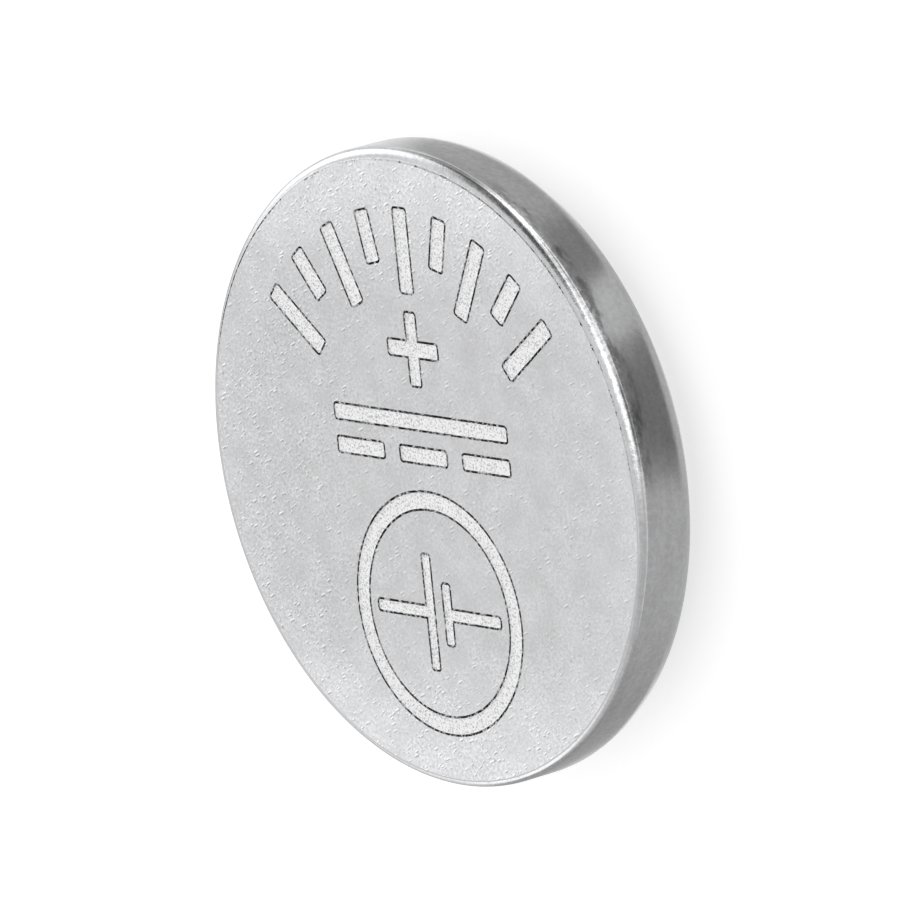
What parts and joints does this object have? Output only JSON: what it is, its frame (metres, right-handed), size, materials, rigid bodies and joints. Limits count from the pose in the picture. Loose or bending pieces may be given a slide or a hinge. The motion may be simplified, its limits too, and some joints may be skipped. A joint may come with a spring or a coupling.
{
  "type": "lithium coin cell",
  "caption": "Thin round coin cell: a drawn steel can crimped over a plastic gasket and a stepped steel cap, with the lithium disc, separator and cathode pellet inside.",
  "frame": {"origin": "centre of the negative terminal's flat, on the cell's axis", "axes": "+Z along the cell's axis from the negative terminal to the positive face; +Y towards the top of the marks on the face"},
  "size_m": [0.02, 0.02, 0.0032],
  "materials": {
    "can_steel": "satin nickel plate with fine scratches",
    "cap_steel": "satin nickel plate",
    "gasket_plastic": "moulded polypropylene",
    "lithium_metal": "dull rolled metal",
    "separator_film": "nonwoven film",
    "cathode_mix": "pressed black powder",
    "ring_steel": "bare stainless steel"
  },
  "bodies": {
    "root": {"positive_can": "can_steel", "negative_cap": "cap_steel", "gasket": "gasket_plastic", "lithium_anode": "lithium_metal", "separator": "separator_film", "cathode_pellet": "cathode_mix", "cathode_ring": "ring_steel"}
  },
  "joints": []
}
